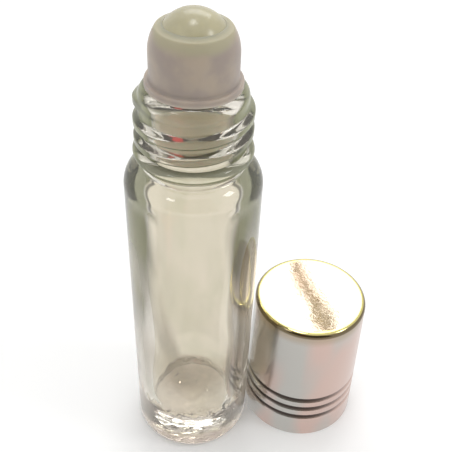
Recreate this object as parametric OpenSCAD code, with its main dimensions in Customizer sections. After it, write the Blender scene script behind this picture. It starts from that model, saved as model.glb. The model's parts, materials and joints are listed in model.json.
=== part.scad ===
// Roll-on bottle: a glass bottle with a screwed neck, a ball housing pressed into the neck, the ball that
// rolls in it, and a screw cap of two pieces, which stands beside the bottle on its open end.
// Millimetres. +Z is up, and the origin is the centre of the bottle's base, on the surface it stands on.

/* [Glass body] */
// Outer diameter of the glass body
body_d = 20; // [18.5:0.1:26]
// Height from the base up to the foot of the neck
body_h = 57.6; // [45:0.1:80]
// Thickness of the glass wall
wall_t = 3; // [1.5:0.1:3.5]
// Thickness of the glass floor
base_t = 5.4; // [2.5:0.1:7]
// Radius round the outer edge of the base
heel_r = 1.7; // [0.8:0.1:2.5]
// Diameter of the hollow pressed into the underside
punt_d = 12; // [8:0.1:15]
// Depth of the hollow pressed into the underside
punt_h = 0.5; // [0.3:0.05:0.8]
// Radius between the wall and the floor inside
floor_r = 2.2; // [1:0.1:3]
// Radius of the shoulder outside
shoulder_r = 4; // [3:0.1:5]
// Radius of the shoulder inside
shoulder_in_r = 3; // [2:0.1:4]
// How far the inside of the shoulder lies below the foot of the neck
shoulder_drop = 1; // [0.6:0.1:2]

/* [Glass neck] */
// Diameter of the neck between the threads
neck_d = 14.8; // [13.4:0.1:17]
// Height of the neck, from its foot to the lip
neck_h = 11.2; // [10.4:0.1:14]
// Diameter of the bore in the neck
bore_d = 11; // [9.2:0.1:12.4]
// Radius round the outer edge of the lip
lip_r = 1.4; // [0.6:0.1:1.6]
// Radius round the inner edge of the lip
lip_in_r = 0.2; // [0.1:0.05:0.25]
// How far the bead at the foot of the neck stands out
bead_out = 1.05; // [0.7:0.05:1.2]
// Height of the bead
bead_w = 1.7; // [1.2:0.1:2.2]
// Height of the bead's middle above the foot of the neck
bead_up = 1.5; // [1.1:0.1:2]

/* [Screw thread] */
// Rise of the thread in one turn
thread_pitch = 2.6; // [2.1:0.05:3.2]
// How far the thread stands out of the neck
thread_h = 0.8; // [0.5:0.05:0.95]
// Turns of thread on the glass
thread_turns = 2.1; // [1.2:0.1:2.6]
// How far the upper end of the thread lies below the lip
thread_drop = 2.2; // [1.8:0.1:3]
// Turns of thread in the cap
cap_turns = 1.4; // [0.8:0.05:1.6]
// Room between the cap's thread and the neck's, across the threads
thread_room = 0.25; // [0.15:0.05:0.35]

/* [Ball and housing] */
// Diameter of the ball
ball_d = 9.9; // [8.2:0.1:11.8]
// How far the ball stands out of the mouth of its housing
ball_show = 2.55; // [2.3:0.05:3.4]
// Height of the ball's centre above the lip of the glass
ball_rise = 5.15; // [4.4:0.05:6]
// Room between the ball and its socket
ball_room = 0.07; // [0.05:0.01:0.1]
// Thickness of the dome round the ball
dome_t = 0.88; // [0.7:0.02:1.1]
// Radius on the lip of the dome
dome_lip_r = 0.35; // [0.25:0.05:0.4]
// Thickness of the collar that rests on the glass
collar_t = 1; // [0.6:0.1:1.3]
// How far the collar stands out of the dome
collar_out = 0.6; // [0.3:0.05:0.8]
// Length of the plug in the neck
plug_l = 9.1; // [6:0.1:9.5]
// Thickness of the plug's wall
plug_t = 1.1; // [0.8:0.1:1.3]
// Diameter of the hole that feeds the ball
feed_d = 6.8; // [5.2:0.1:7.6]
// Thickness of the ball's seat at the feed hole
seat_t = 0.8; // [0.5:0.1:1.2]
// Number of sealing ribs round the plug
rib_n = 3; // [2:1:4]
// Height of a sealing rib
rib_w = 0.9; // [0.6:0.1:1.2]
// How far the plug's wall stands back from the bore between its ribs
rib_out = 0.15; // [0.1:0.01:0.25]

/* [Cap] */
// Thickness of the aluminium shell
shell_t = 0.4; // [0.3:0.02:0.5]
// How much smaller the radius of the shell is at its top
shell_taper = 0.9; // [0:0.05:1.2]
// Radius round the top edge of the shell
edge_r = 0.8; // [0.6:0.1:1.5]
// Number of rolled grooves
groove_n = 3; // [1:1:4]
// Height of the lowest groove above the open rim
groove_z = 5; // [3.5:0.1:6]
// Distance from groove to groove
groove_step = 2.3; // [1.9:0.1:3]
// Depth of a groove
groove_d = 0.25; // [0.15:0.01:0.3]
// Radius of a groove's round bottom
groove_r = 0.6; // [0.45:0.05:0.75]
// Thickness of the liner's skirt where it passes the bead
skirt_t = 1; // [0.6:0.05:1.3]
// Thickness of the liner's inner tube
tube_t = 1; // [0.8:0.05:1.2]
// Thickness of the liner's ceiling
ceiling_t = 1.2; // [0.8:0.1:1.6]
// Height of the liner's tube above its ceiling
crown_h = 3.75; // [2:0.05:5]
// Number of fins that centre the liner's tube in the shell
fin_n = 8; // [4:1:12]
// Thickness of a fin
fin_t = 0.9; // [0.6:0.05:1.2]
// How far the liner stands back from the open rim of the shell
liner_back = 0.5; // [0.3:0.05:0.8]
// Diameter of the ring that seals on the ball
seal_d = 5.2; // [4:0.1:6]
// Thickness of the seal ring
seal_t = 0.7; // [0.5:0.05:0.9]

/* [Standing place of the cap] */
// Gap between the cap and the bottle beside it
stand_gap = 0.2; // [0.15:0.05:3]
// Direction of the cap from the bottle, in degrees from +X towards +Y
stand_angle = 12; // [0:0.5:90]

/* [Hidden] */

$fn = 96;
// Straight steps on a quarter turn of an outline, and the least on any arc
arc_steps = 12;
least_steps = 3;
// Straight steps on half a groove, and rings on a turn of thread
groove_steps = 6;
rings_per_turn = 48;
// Depth that a ridge is rooted in its wall
root_depth = 0.25;
// Points nearer than this are one point of an outline
same_point = 0.0005;
// Clearance of parts that are assembled once and stay, and of faces that nearly touch
fit_gap = 0.05;
// Gap from the cap's rim to the foot of the neck, and past the bead and the lip, when the cap is on
rim_gap = 0.2;
bead_pass = 0.6;
lip_pass = 0.5;
// Radius that blends the shoulder into the neck outside, and into the bore inside
foot_r = 0.8;
foot_in_r = 1.6;
// Lead-in at the end of the plug, round on the collar, flat between the dome's lip and the socket
plug_lead = 0.5;
collar_r_edge = 0.3;
mouth_land = 0.03;
// Least step from the bore out to the inside of the body, and from the bore out to the dome
bore_step = 0.3;
// Chamfer at the open end of the liner
liner_lead = 0.3;
// Thread on the glass: half widths as shares of the pitch, at heights as shares of the thread's height
ridge_width_shares = [0.36, 0.30, 0.20, 0.09];
ridge_height_shares = [0, 0.45, 0.88, 1];
// Thread in the cap: half widths at its foot and its crest, as shares of the pitch
cap_ridge_width_shares = [0.28, 0.14];
// Share of a turn over which a thread rises from the wall, and the share of its height it starts from
run_in_share = 0.1;
start_share = 0.04;
// Direction in which both threads end at their tops, in degrees from +X
thread_end = 212;
// Share of the pitch that the lower end of a thread keeps from the bead
thread_foot_share = 0.4;
// Share of a rib's height that touches the bore
rib_crown_share = 0.5;
// Most of the neck's wall that the round on the lip may take
lip_wall_share = 0.75;
// Share of the plug's length that its ribs are spread over, from the lip down
rib_span_share = 0.85;

body_r = body_d / 2;
neck_r = neck_d / 2;
bore_r = bore_d / 2;
inner_r = max(body_r - wall_t, bore_r + bore_step);
lip_z = body_h + neck_h;
bead_z = body_h + bead_up;
bead_r = neck_r + bead_out;
crest_r = neck_r + thread_h;
thread_top = lip_z - thread_drop;
bead_top = bead_z + bead_w / 2;
glass_turns = min(thread_turns, (thread_top - bead_top) / thread_pitch - thread_foot_share);

ball_r = ball_d / 2;
ball_z = lip_z + ball_rise;
socket_r = ball_r + ball_room;
feed_r = feed_d / 2;
// Height of the mouth above the ball's centre, and its radius, where the socket reaches it
mouth_up = ball_r - ball_show;
mouth_r = sqrt(socket_r * socket_r - mouth_up * mouth_up);
dome_r = max(socket_r + dome_t, bore_r + bore_step);
collar_r = dome_r + collar_out;
// The dome is a ball-shaped cover that runs into the round on its lip
dome_lip_z = ball_z + mouth_up + mouth_land;
dome_lip_reach = dome_r - dome_lip_r;
dome_z = dome_lip_z - sqrt(pow(dome_lip_reach, 2) - pow(mouth_r + dome_lip_r, 2));
dome_lip_angle = acos((mouth_r + dome_lip_r) / dome_lip_reach);
plug_r = bore_r - rib_out;
plug_in_r = max(plug_r - plug_t, feed_r);
plug_z = lip_z - plug_l;
seat_z = ball_z - sqrt(socket_r * socket_r - feed_r * feed_r);

// The cap in its own frame, with its open rim at zero; cap_on_z is the rim's height when it is screwed on
cap_on_z = body_h + rim_gap;
mouth_bore_r = bead_r + thread_room;
cap_root_r = crest_r + thread_room;
cap_crest_r = neck_r + thread_room;
skirt_r = mouth_bore_r + skirt_t;
cap_r = skirt_r + fit_gap + groove_d + shell_t;
cap_bead_z = bead_top + bead_pass - cap_on_z;
cap_lip_z = lip_z + lip_pass - cap_on_z;
tube_in_r = collar_r + lip_pass;
tube_r = tube_in_r + tube_t;
ceiling_z = ball_z + ball_r + fit_gap - cap_on_z;
crown_z = ceiling_z + ceiling_t + crown_h;
cap_h = crown_z + shell_t;
skirt_h = cap_lip_z + tube_t;
seal_r = seal_d / 2;
seal_in_r = seal_r - seal_t / 2;
seal_z = ball_z + sqrt(ball_r * ball_r - seal_in_r * seal_in_r) + fit_gap - cap_on_z;
cap_thread_top = thread_top - thread_pitch / 2 - cap_on_z;
liner_turns = min(cap_turns, (cap_thread_top - cap_bead_z) / thread_pitch - thread_foot_share);
stand_reach = body_r + cap_r + stand_gap;
// How far a fin's corners stand out of the circle that its middle touches
fin_sag = pow(fin_t / 2, 2) / (2 * tube_r);

// Points of an arc about [r, z], from angle a0 to a1
function arc(centre, r, a0, a1) =
    let (n = max(least_steps, ceil(abs(a1 - a0) / 90 * arc_steps)))
    [for (i = [0:n]) let (a = a0 + (a1 - a0) * i / n) [centre[0] + r * cos(a), centre[1] + r * sin(a)]];

// Outline without points that repeat the one before
function without_repeats(points) =
    [for (i = [0:len(points) - 1]) if (i == 0 || norm(points[i] - points[i - 1]) > same_point) points[i]];

function reversed(points) = [for (i = [len(points) - 1:-1:0]) points[i]];

// Shoulder from radius r_low up to the smaller r_high, which it reaches at height z: a round of radius
// r_out turns in, and one of radius r_in turns up again
function shoulder(r_low, r_high, z, r_out, r_in) =
    let (turn = acos(max(0, 1 - (r_low - r_high) / (r_out + r_in))))
    let (z_low = z - (r_out + r_in) * sin(turn))
    concat(arc([r_low - r_out, z_low], r_out, 0, turn),
           reversed([for (p = arc([0, 0], r_in, 0, turn)) [r_high + r_in - p[0], z - p[1]]]));

// Radius of the shell's wall at a height above its open rim
function wall_r(z) = cap_r - shell_taper * z / cap_h;

// The shell's wall, back from its outer face by inset, with its rolled grooves and round top edge
function shell_side(inset) =
    let (r = groove_r + inset)
    let (half = acos((groove_r - groove_d + inset) / r))
    concat([for (i = [0:groove_n - 1]) let (z = groove_z + i * groove_step)
                each [for (k = [-groove_steps:groove_steps]) let (a = half * k / groove_steps)
                    [wall_r(z) + groove_r - groove_d - r * cos(a), z + r * sin(a)]]],
           arc([wall_r(cap_h - edge_r) - edge_r, cap_h - edge_r], edge_r - inset, 0, 90));

// A ridge wound about +Z on a wall of radius r. The section's points are [out, up], and side is 1 on
// the outside of a wall and -1 inside a bore. It ends at z_top and end_angle, and fades out at both ends.
module thread(r, side, section, z_top, turns) {
    n = ceil(turns * rings_per_turn);
    fade = run_in_share * rings_per_turn;
    m = len(section);
    points = [for (i = [0:n]) let (
            back = turns * (1 - i / n),
            a = thread_end - 360 * back,
            rise = max(start_share, min(1, i / fade, (n - i) / fade)))
        for (p = section) let (q = r + side * ((p[0] + root_depth) * rise - root_depth))
            [q * cos(a), q * sin(a), z_top - thread_pitch * back + p[1]]];
    sides = [for (i = [0:n - 1]) for (k = [0:m - 1]) let (
            a = i * m + k,
            b = i * m + (k + 1) % m,
            c = a + m,
            d = b + m)
        each [[a, b, d], [a, d, c]]];
    first = [for (k = [m - 1:-1:0]) k];
    last = [for (k = [0:m - 1]) n * m + k];
    faces = concat(sides, [first, last]);
    polyhedron(points, side > 0 ? faces : [for (f = faces) reversed(f)]);
}

// Section of a ridge of height h, as [out, up], from under its foot over the crest and back. Its flanks
// run on into the wall, so that no corner lies on the wall's face.
function ridge(h, width_shares, height_shares) =
    let (foot = width_shares[0], spread = (foot - width_shares[1]) / (height_shares[1] * h))
    let (half = [for (i = [1:len(width_shares) - 1]) [h * height_shares[i], thread_pitch * width_shares[i]]])
    let (all = concat([[-root_depth, thread_pitch * (foot + spread * root_depth)]], half))
    concat([for (p = all) [p[0], -p[1]]], reversed(all));

// The glass is one moulded piece: a thick floor with a hollow under it, rounded heel and shoulder, and a
// neck with a bead at its foot and a right-hand thread
module glass_bottle() color([0.80, 0.84, 0.76, 0.5]) {
    punt_r = punt_d / 2;
    punt_arc_r = (punt_r * punt_r + punt_h * punt_h) / (2 * punt_h);
    lip = min(lip_r, lip_wall_share * (neck_r - bore_r));
    outside = concat(
        arc([0, punt_h - punt_arc_r], punt_arc_r, 90, acos(punt_r / punt_arc_r)),
        arc([body_r - heel_r, heel_r], heel_r, -90, 0),
        shoulder(body_r, neck_r, body_h, shoulder_r, foot_r),
        [for (p = arc([0, 0], 1, -90, 90)) [neck_r + bead_out * p[0], bead_z + bead_w / 2 * p[1]]],
        arc([neck_r - lip, lip_z - lip], lip, 0, 90));
    inside = concat(
        arc([bore_r + lip_in_r, lip_z - lip_in_r], lip_in_r, 90, 180),
        reversed(shoulder(inner_r, bore_r, body_h - shoulder_drop, shoulder_in_r, foot_in_r)),
        arc([inner_r - floor_r, base_t + floor_r], floor_r, 0, -90),
        [[0, base_t]]);
    union() {
        rotate_extrude() polygon(without_repeats(concat(outside, inside)));
        thread(neck_r, 1, ridge(thread_h, ridge_width_shares, ridge_height_shares), thread_top, glass_turns);
    }
}

// The housing is one moulded piece: a ribbed plug in the bore, a collar on the lip, and a dome whose
// lip is narrower than the ball, which snaps past it into the socket
module roller_housing() color([0.86, 0.82, 0.80]) {
    outside = concat(
        [[plug_in_r, plug_z], [plug_r - plug_lead, plug_z], [plug_r, plug_z + plug_lead]],
        [[plug_r, lip_z], [collar_r, lip_z]],
        arc([collar_r - collar_r_edge, lip_z + collar_t - collar_r_edge], collar_r_edge, 0, 90),
        [[dome_r, lip_z + collar_t]],
        arc([0, dome_z], dome_r, 0, dome_lip_angle),
        arc([mouth_r + dome_lip_r, dome_lip_z], dome_lip_r, dome_lip_angle, 180));
    inside = concat(
        arc([0, ball_z], socket_r, asin(mouth_up / socket_r), -acos(feed_r / socket_r)),
        [[feed_r, seat_z - seat_t], [plug_in_r, seat_z - seat_t - (plug_in_r - feed_r)]]);
    rib_step = plug_l * rib_span_share / rib_n;
    union() {
        rotate_extrude() polygon(without_repeats(concat(outside, inside)));
        for (i = [1:rib_n]) plug_rib(lip_z - i * rib_step);
    }
}

// One sealing rib: a low ring, sloped on both sides, that reaches the bore of the neck
module plug_rib(z) {
    foot = rib_w / 2;
    crown = foot * rib_crown_share;
    rotate_extrude() polygon([
        [plug_r - rib_out, z - foot], [plug_r, z - foot], [bore_r, z - crown],
        [bore_r, z + crown], [plug_r, z + foot], [plug_r - rib_out, z + foot]]);
}

// The ball, turned so that its poles lie on the axis it rolls about
module roller_ball() color([0.90, 0.89, 0.76])
    translate([0, 0, ball_z]) rotate([0, 90, 0]) sphere(r = ball_r);

module at_cap_place()
    translate([stand_reach * cos(stand_angle), stand_reach * sin(stand_angle), 0]) children();

// The drawn aluminium shell: an even wall with rolled grooves, a rounded rim and a flat top
module cap_shell() color([0.80, 0.78, 0.77]) at_cap_place() {
    rim = arc([cap_r - shell_t / 2, shell_t / 2], shell_t / 2, -180, 0);
    rotate_extrude() polygon(without_repeats(concat(
        rim, shell_side(0), [[0, cap_h], [0, cap_h - shell_t]], reversed(shell_side(shell_t)))));
}

// The moulded liner: a skirt with the cap's thread, an inner tube whose ceiling has the ring that
// presses on the ball, and fins that centre it in the shell
module cap_liner() color([0.93, 0.93, 0.92]) at_cap_place() {
    skirt = [
        [mouth_bore_r + liner_lead, liner_back], [skirt_r, liner_back],
        [skirt_face(skirt_h), skirt_h], [tube_r, skirt_h], [tube_r, crown_z], [tube_in_r, crown_z],
        [tube_in_r, ceiling_z + ceiling_t], [0, ceiling_z + ceiling_t], [0, ceiling_z]];
    seal = [
        [seal_in_r, ceiling_z], [seal_in_r, seal_z],
        [seal_in_r + seal_t, seal_z], [seal_in_r + seal_t, ceiling_z]];
    bore = [
        [tube_in_r, ceiling_z], [tube_in_r, cap_lip_z], [cap_root_r, cap_lip_z],
        [cap_root_r, cap_bead_z], [mouth_bore_r, cap_bead_z], [mouth_bore_r, liner_back + liner_lead]];
    union() {
        rotate_extrude() polygon(concat(skirt, seal, bore));
        thread(cap_root_r, -1, ridge(cap_root_r - cap_crest_r, cap_ridge_width_shares, [0, 1]),
               cap_thread_top, liner_turns);
        for (i = [0:fin_n - 1]) rotate([0, 0, i * 360 / fin_n]) liner_fin();
    }
}

// Radius of the liner's outer face at a height, clear of the grooves that stand into the shell
function skirt_face(z) = wall_r(z) - shell_t - groove_d - fit_gap;

// One fin, from the tube out to the shell, below the round of the shell's edge
module liner_fin() {
    top = cap_h - edge_r;
    rotate([90, 0, 0]) translate([0, 0, -fin_t / 2]) linear_extrude(fin_t) polygon([
        [tube_r - root_depth, skirt_h - root_depth],
        [skirt_face(skirt_h) - root_depth, skirt_h - root_depth],
        [wall_r(top) - shell_t - fit_gap - fin_sag, top], [tube_r - root_depth, top]]);
}

glass_bottle();
roller_housing();
roller_ball();
cap_shell();
cap_liner();
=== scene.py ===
"""Looks of a small glass roll-on bottle and its metal screw cap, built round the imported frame.

Lengths are in millimetres until a mesh is made, and every mesh is in metres, in the frame's own place.
"""

from __future__ import annotations

import json
import logging
import math
from dataclasses import dataclass, field
from enum import Enum
from typing import Any, Iterable

import bmesh
import bpy
from mathutils import Matrix, Vector, noise

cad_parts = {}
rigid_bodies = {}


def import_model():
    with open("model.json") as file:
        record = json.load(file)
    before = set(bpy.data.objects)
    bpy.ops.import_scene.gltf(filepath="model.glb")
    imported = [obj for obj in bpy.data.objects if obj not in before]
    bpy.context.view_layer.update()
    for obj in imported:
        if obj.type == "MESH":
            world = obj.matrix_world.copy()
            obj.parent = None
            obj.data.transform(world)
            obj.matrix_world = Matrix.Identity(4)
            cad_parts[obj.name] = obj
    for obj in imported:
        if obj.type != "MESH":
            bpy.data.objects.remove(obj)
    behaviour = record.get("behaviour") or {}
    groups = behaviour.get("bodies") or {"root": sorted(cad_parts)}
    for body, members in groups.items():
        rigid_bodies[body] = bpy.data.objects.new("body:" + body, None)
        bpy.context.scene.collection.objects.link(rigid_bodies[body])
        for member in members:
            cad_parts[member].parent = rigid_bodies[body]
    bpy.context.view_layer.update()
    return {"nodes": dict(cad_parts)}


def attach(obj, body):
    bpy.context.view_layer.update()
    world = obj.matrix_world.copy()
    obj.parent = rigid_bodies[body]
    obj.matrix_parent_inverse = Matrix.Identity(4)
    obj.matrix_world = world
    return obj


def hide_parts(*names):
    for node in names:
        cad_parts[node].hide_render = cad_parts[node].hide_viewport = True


LOG = logging.getLogger("roll_on_bottle")
MM = 0.001
IMAGE_SIDE = 452
FULL_TURN = 360.0
SAME_POINT = 1e-4
ON_AXIS = 1e-6
NEAR = 0.01
PLASTIC_IOR = 1.5
GLASS_FRONT = (-1.0, -3.0)
GLASS_WAVE = 0.16
GLASS_WAVE_STRETCH = 0.3
WHITE = (1.0, 1.0, 1.0)
BLACK = (0.0, 0.0, 0.0)
Colour = tuple[float, float, float]
Span = tuple[float, float]


def smooth(share: float) -> float:
    """Eases a share that is clipped to the range from 0 to 1."""
    share = min(1.0, max(0.0, share))
    return share * share * (3 - 2 * share)


class Body(Enum):
    """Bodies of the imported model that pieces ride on."""

    BOTTLE = "bottle"
    BALL = "ball"
    CAP = "cap"


class Slot(Enum):
    """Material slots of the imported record."""

    GLASS = "glass"
    HOUSING = "housing"
    BALL = "ball"
    SHELL = "shell"


@dataclass
class Outline:
    """Outline of a turned piece, as points of radius and height in millimetres."""

    points: list[tuple[float, float]] = field(default_factory=list)

    def to(self, radius: float, height: float, step: float = 0.0) -> Outline:
        """Draws a straight line to a point.

        Args:
            radius: Distance of the point from the axis.
            height: Height of the point.
            step: Longest piece that the line is cut into, or 0 for one piece.

        Returns:
            The outline itself.
        """
        if self.points and step > 0:
            r0, z0 = self.points[-1]
            count = max(1, math.ceil(math.hypot(radius - r0, height - z0) / step))
            for i in range(1, count):
                self.points.append((r0 + (radius - r0) * i / count, z0 + (height - z0) * i / count))
        self.points.append((radius, height))
        return self

    def arc(self, centre: tuple[float, float], radius: float, start: float, end: float,
            step: float, squash: float = 1.0) -> Outline:
        """Draws an arc.

        Args:
            centre: Centre of the arc.
            radius: Radius of the arc.
            start: Angle that it starts at, in degrees from outwards to upwards.
            end: Angle that it ends at.
            step: Longest piece that the arc is cut into, in degrees.
            squash: Height of the arc as a share of its radius.

        Returns:
            The outline itself.
        """
        count = max(3, math.ceil(abs(end - start) / step))
        points = []
        for i in range(count + 1):
            angle = math.radians(start + (end - start) * i / count)
            points.append((centre[0] + radius * math.cos(angle),
                           centre[1] + radius * squash * math.sin(angle)))
        return self.join(points)

    def join(self, points: Iterable[tuple[float, float]]) -> Outline:
        """Adds the points of another outline, but none twice.

        Args:
            points: The points, in order.

        Returns:
            The outline itself.
        """
        for point in points:
            if not self.points or math.dist(point, self.points[-1]) > SAME_POINT:
                self.points.append(point)
        return self


def shoulder(low: float, high: float, top: float, outer_round: float, inner_round: float) -> Outline:
    """Outline of a shoulder that leads up from a wide wall to a narrow one.

    Args:
        low: Radius of the wide wall.
        high: Radius of the narrow wall.
        top: Height at which the narrow wall starts.
        outer_round: Radius of the round that turns in.
        inner_round: Radius of the round that turns up again.

    Returns:
        The outline, from the bottom up.
    """
    turn = math.acos(max(0.0, 1 - (low - high) / (outer_round + inner_round)))
    bottom = top - (outer_round + inner_round) * math.sin(turn)
    degrees = math.degrees(turn)
    rise = Outline().arc((low - outer_round, bottom), outer_round, 0, degrees, step=5)
    return rise.arc((high + inner_round, top), inner_round, 180 + degrees, 180, step=5)


def turned(outline: Outline, steps: int, closed: bool = False) -> bmesh.types.BMesh:
    """Spins an outline round the axis into a closed shape.

    Args:
        outline: The outline, which starts and ends on the axis, or is closed.
        steps: Steps in a full turn.
        closed: True if the outline's end joins its start.

    Returns:
        The shape, in millimetres, with its axis at the origin.
    """
    shape = bmesh.new()
    ring = [shape.verts.new((radius, 0, height)) for radius, height in outline.points]
    pairs = list(zip(ring, ring[1:]))
    if closed:
        pairs.append((ring[-1], ring[0]))
    edges = [shape.edges.new(pair) for pair in pairs]
    bmesh.ops.spin(shape, geom=ring + edges, cent=(0, 0, 0), axis=(0, 0, 1), dvec=(0, 0, 0),
                   angle=math.tau, steps=steps, use_merge=True)
    bmesh.ops.remove_doubles(shape, verts=shape.verts, dist=SAME_POINT)
    bmesh.ops.recalc_face_normals(shape, faces=shape.faces)
    return shape


def finished(name: str, shape: bmesh.types.BMesh, place: Vector = Vector()) -> bpy.types.Object:
    """Makes a smooth object of a shape.

    Args:
        name: Name of the object.
        shape: The shape in millimetres, which is freed.
        place: Where the shape's origin stands, in millimetres.

    Returns:
        The object, with its mesh in metres.
    """
    matrix = Matrix.Scale(MM, 4) @ Matrix.Translation(place)
    bmesh.ops.transform(shape, matrix=matrix, verts=shape.verts)
    mesh = bpy.data.meshes.new(name)
    shape.to_mesh(mesh)
    shape.free()
    mesh.shade_smooth()
    piece = bpy.data.objects.new(name, mesh)
    bpy.context.scene.collection.objects.link(piece)
    return piece


def woven(points: list[list[Vector]]) -> bmesh.types.BMesh:
    """Joins rows of points, in millimetres, into one open sheet.

    Args:
        points: Rows of points, each as long as the others.

    Returns:
        The sheet.
    """
    shape = bmesh.new()
    rows = [[shape.verts.new(point) for point in row] for row in points]
    for low, high in zip(rows, rows[1:]):
        for i in range(len(low) - 1):
            shape.faces.new((low[i], low[i + 1], high[i + 1], high[i]))
    return shape


def put_on(piece: bpy.types.Object, material: bpy.types.Material) -> None:
    """Gives a piece one material."""
    piece.data.materials.clear()
    piece.data.materials.append(material)


def hide_from(piece: bpy.types.Object, *rays: str) -> None:
    """Hides a piece from kinds of ray, such as camera or shadow."""
    for ray in rays:
        setattr(piece, f"visible_{ray}", False)


class Value:
    """What a shader socket gives, with the maths that the finishes write on it."""

    def __init__(self, graph: Graph, socket: bpy.types.NodeSocket) -> None:
        """Wraps a socket of a graph."""
        self.graph = graph
        self.socket = socket

    def maths(self, operation: str, *others: Any) -> Value:
        """Adds a Math node on this value and others."""
        given = dict(enumerate((self, *others)))
        return self.graph.node("ShaderNodeMath", {"operation": operation}, given)

    def __add__(self, other: Any) -> Value:
        """Sum."""
        return self.maths("ADD", other)

    __radd__ = __add__

    def __sub__(self, other: Any) -> Value:
        """Difference."""
        return self.maths("SUBTRACT", other)

    def __rsub__(self, other: float) -> Value:
        """Difference from a number."""
        return self.graph.node("ShaderNodeMath", {"operation": "SUBTRACT"}, {0: other, 1: self})

    def __mul__(self, other: Any) -> Value:
        """Product."""
        return self.maths("MULTIPLY", other)

    __rmul__ = __mul__

    def __abs__(self) -> Value:
        """Size without its sign."""
        return self.maths("ABSOLUTE")

    def clipped(self) -> Value:
        """This value, kept between 0 and 1."""
        return self.maths("MINIMUM", 1.0).maths("MAXIMUM", 0.0)

    def between(self, start: float, end: float) -> Value:
        """Goes smoothly from 0 at start to 1 at end, which may be the lower of the two."""
        sockets = {"Value": self, "From Min": start, "From Max": end}
        return self.graph.node("ShaderNodeMapRange", {"interpolation_type": "SMOOTHSTEP"}, sockets)

    def inside(self, rise: Span, fall: Span) -> Value:
        """Is 1 from the end of a smooth rise to the end of a smooth fall, and 0 beyond them."""
        return self.between(*rise) * self.between(*fall)

    def along(self, axis: str) -> Value:
        """This vector's part along an axis, X, Y or Z."""
        return self.graph.node("ShaderNodeSeparateXYZ", {}, {"Vector": self}, output=axis)

    def length(self) -> Value:
        """This vector's length."""
        return self.graph.node("ShaderNodeVectorMath", {"operation": "LENGTH"}, {0: self}, "Value")

    def dot(self, direction: tuple[float, float, float]) -> Value:
        """How far this vector reaches in a direction."""
        given = {0: self, 1: direction}
        return self.graph.node("ShaderNodeVectorMath", {"operation": "DOT_PRODUCT"}, given, "Value")


class Graph:
    """Node graph of one material or of the world."""

    def __init__(self, owner: bpy.types.Material | bpy.types.World) -> None:
        """Empties the owner's graph.

        Args:
            owner: The material or world.
        """
        owner.use_nodes = True
        self.tree = owner.node_tree
        self.tree.nodes.clear()
        self.ending = "World" if isinstance(owner, bpy.types.World) else "Material"

    @classmethod
    def material(cls, name: str) -> tuple[bpy.types.Material, Graph]:
        """Makes a material and its graph."""
        made = bpy.data.materials.new(name)
        return made, cls(made)

    def node(self, kind: str, settings: dict[str, Any] | None = None,
             sockets: dict[str | int, Any] | None = None, output: str | int = 0) -> Value:
        """Adds a node.

        Args:
            kind: Type of the node.
            settings: Its settings, such as an operation.
            sockets: Numbers, colours, vectors or values for its sockets.
            output: Name or number of the output that is wanted.

        Returns:
            The wanted output.
        """
        made = self.tree.nodes.new(kind)
        for name, setting in (settings or {}).items():
            setattr(made, name, setting)
        for name, given in (sockets or {}).items():
            socket = made.inputs[name]
            if isinstance(given, Value):
                self.tree.links.new(given.socket, socket)
            else:
                socket.default_value = (*given, 1) if socket.type == "RGBA" else given
        return Value(self, made.outputs[output])

    def place(self, scale: tuple[float, float, float] = (1, 1, 1),
              centre: Vector = Vector()) -> Value:
        """Object coordinates in millimetres from a centre, times a scale.

        Args:
            scale: Scale along each axis, below 1 where a pattern is drawn out.
            centre: The centre, in millimetres.

        Returns:
            The coordinates.
        """
        found = self.node("ShaderNodeTexCoord", output="Object")
        sockets = {"Vector": found, "Scale": tuple(part / MM for part in scale),
                   "Location": tuple(-part * by for part, by in zip(centre, scale))}
        return self.node("ShaderNodeMapping", {"vector_type": "POINT"}, sockets)

    def noise(self, place: Value, scale: float, detail: float = 2.0, rough: float = 0.5,
              twist: float = 0.0) -> Value:
        """Cloudy noise.

        Args:
            place: Coordinates that it is read at.
            scale: Cells in one of the place's units.
            detail: Number of finer layers.
            rough: Share of the finer layers.
            twist: How much it is distorted.

        Returns:
            The noise, from 0 to 1.
        """
        sockets = {"Vector": place, "Scale": scale, "Detail": detail, "Roughness": rough,
                   "Distortion": twist}
        return self.node("ShaderNodeTexNoise", {"noise_dimensions": "3D"}, sockets)

    def mix(self, share: Value | float, first: Any, second: Any) -> Value:
        """Mixes two colours by a share."""
        settings = {"data_type": "RGBA", "clamp_factor": True}
        return self.node("ShaderNodeMix", settings, {0: share, 6: first, 7: second}, output=2)

    def bump(self, height: Value, depth: float) -> Value:
        """Bump of a height, whose full step is a depth in millimetres."""
        sockets = {"Height": height, "Distance": depth * MM, "Strength": 1.0}
        return self.node("ShaderNodeBump", {}, sockets)

    def rays(self) -> tuple[Value, ...]:
        """Whether a ray comes from the camera, from a gloss and through glass."""
        return tuple(self.node("ShaderNodeLightPath", output=f"Is {kind} Ray")
                     for kind in ("Camera", "Glossy", "Transmission"))

    def principled(self, sockets: dict[str, Any]) -> Value:
        """A Principled shader."""
        return self.node("ShaderNodeBsdfPrincipled", {}, sockets)

    def glow(self, colour: Any) -> Value:
        """A shader that shows a colour whatever light falls on it."""
        return self.node("ShaderNodeEmission", {}, {"Color": colour, "Strength": 1.0})

    def either(self, share: Value, first: Value, second: Value) -> Value:
        """Mixes two shaders by a share."""
        return self.node("ShaderNodeMixShader", {}, {0: share, 1: first, 2: second})

    def surface(self, shader: Value) -> None:
        """Sends a shader to the output."""
        made = self.tree.nodes.new(f"ShaderNodeOutput{self.ending}")
        self.tree.links.new(shader.socket, made.inputs["Surface"])


class Zone(Enum):
    """Zones of the glass, numbered as its material slots."""

    OUTER = 0
    INNER = 1


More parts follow.
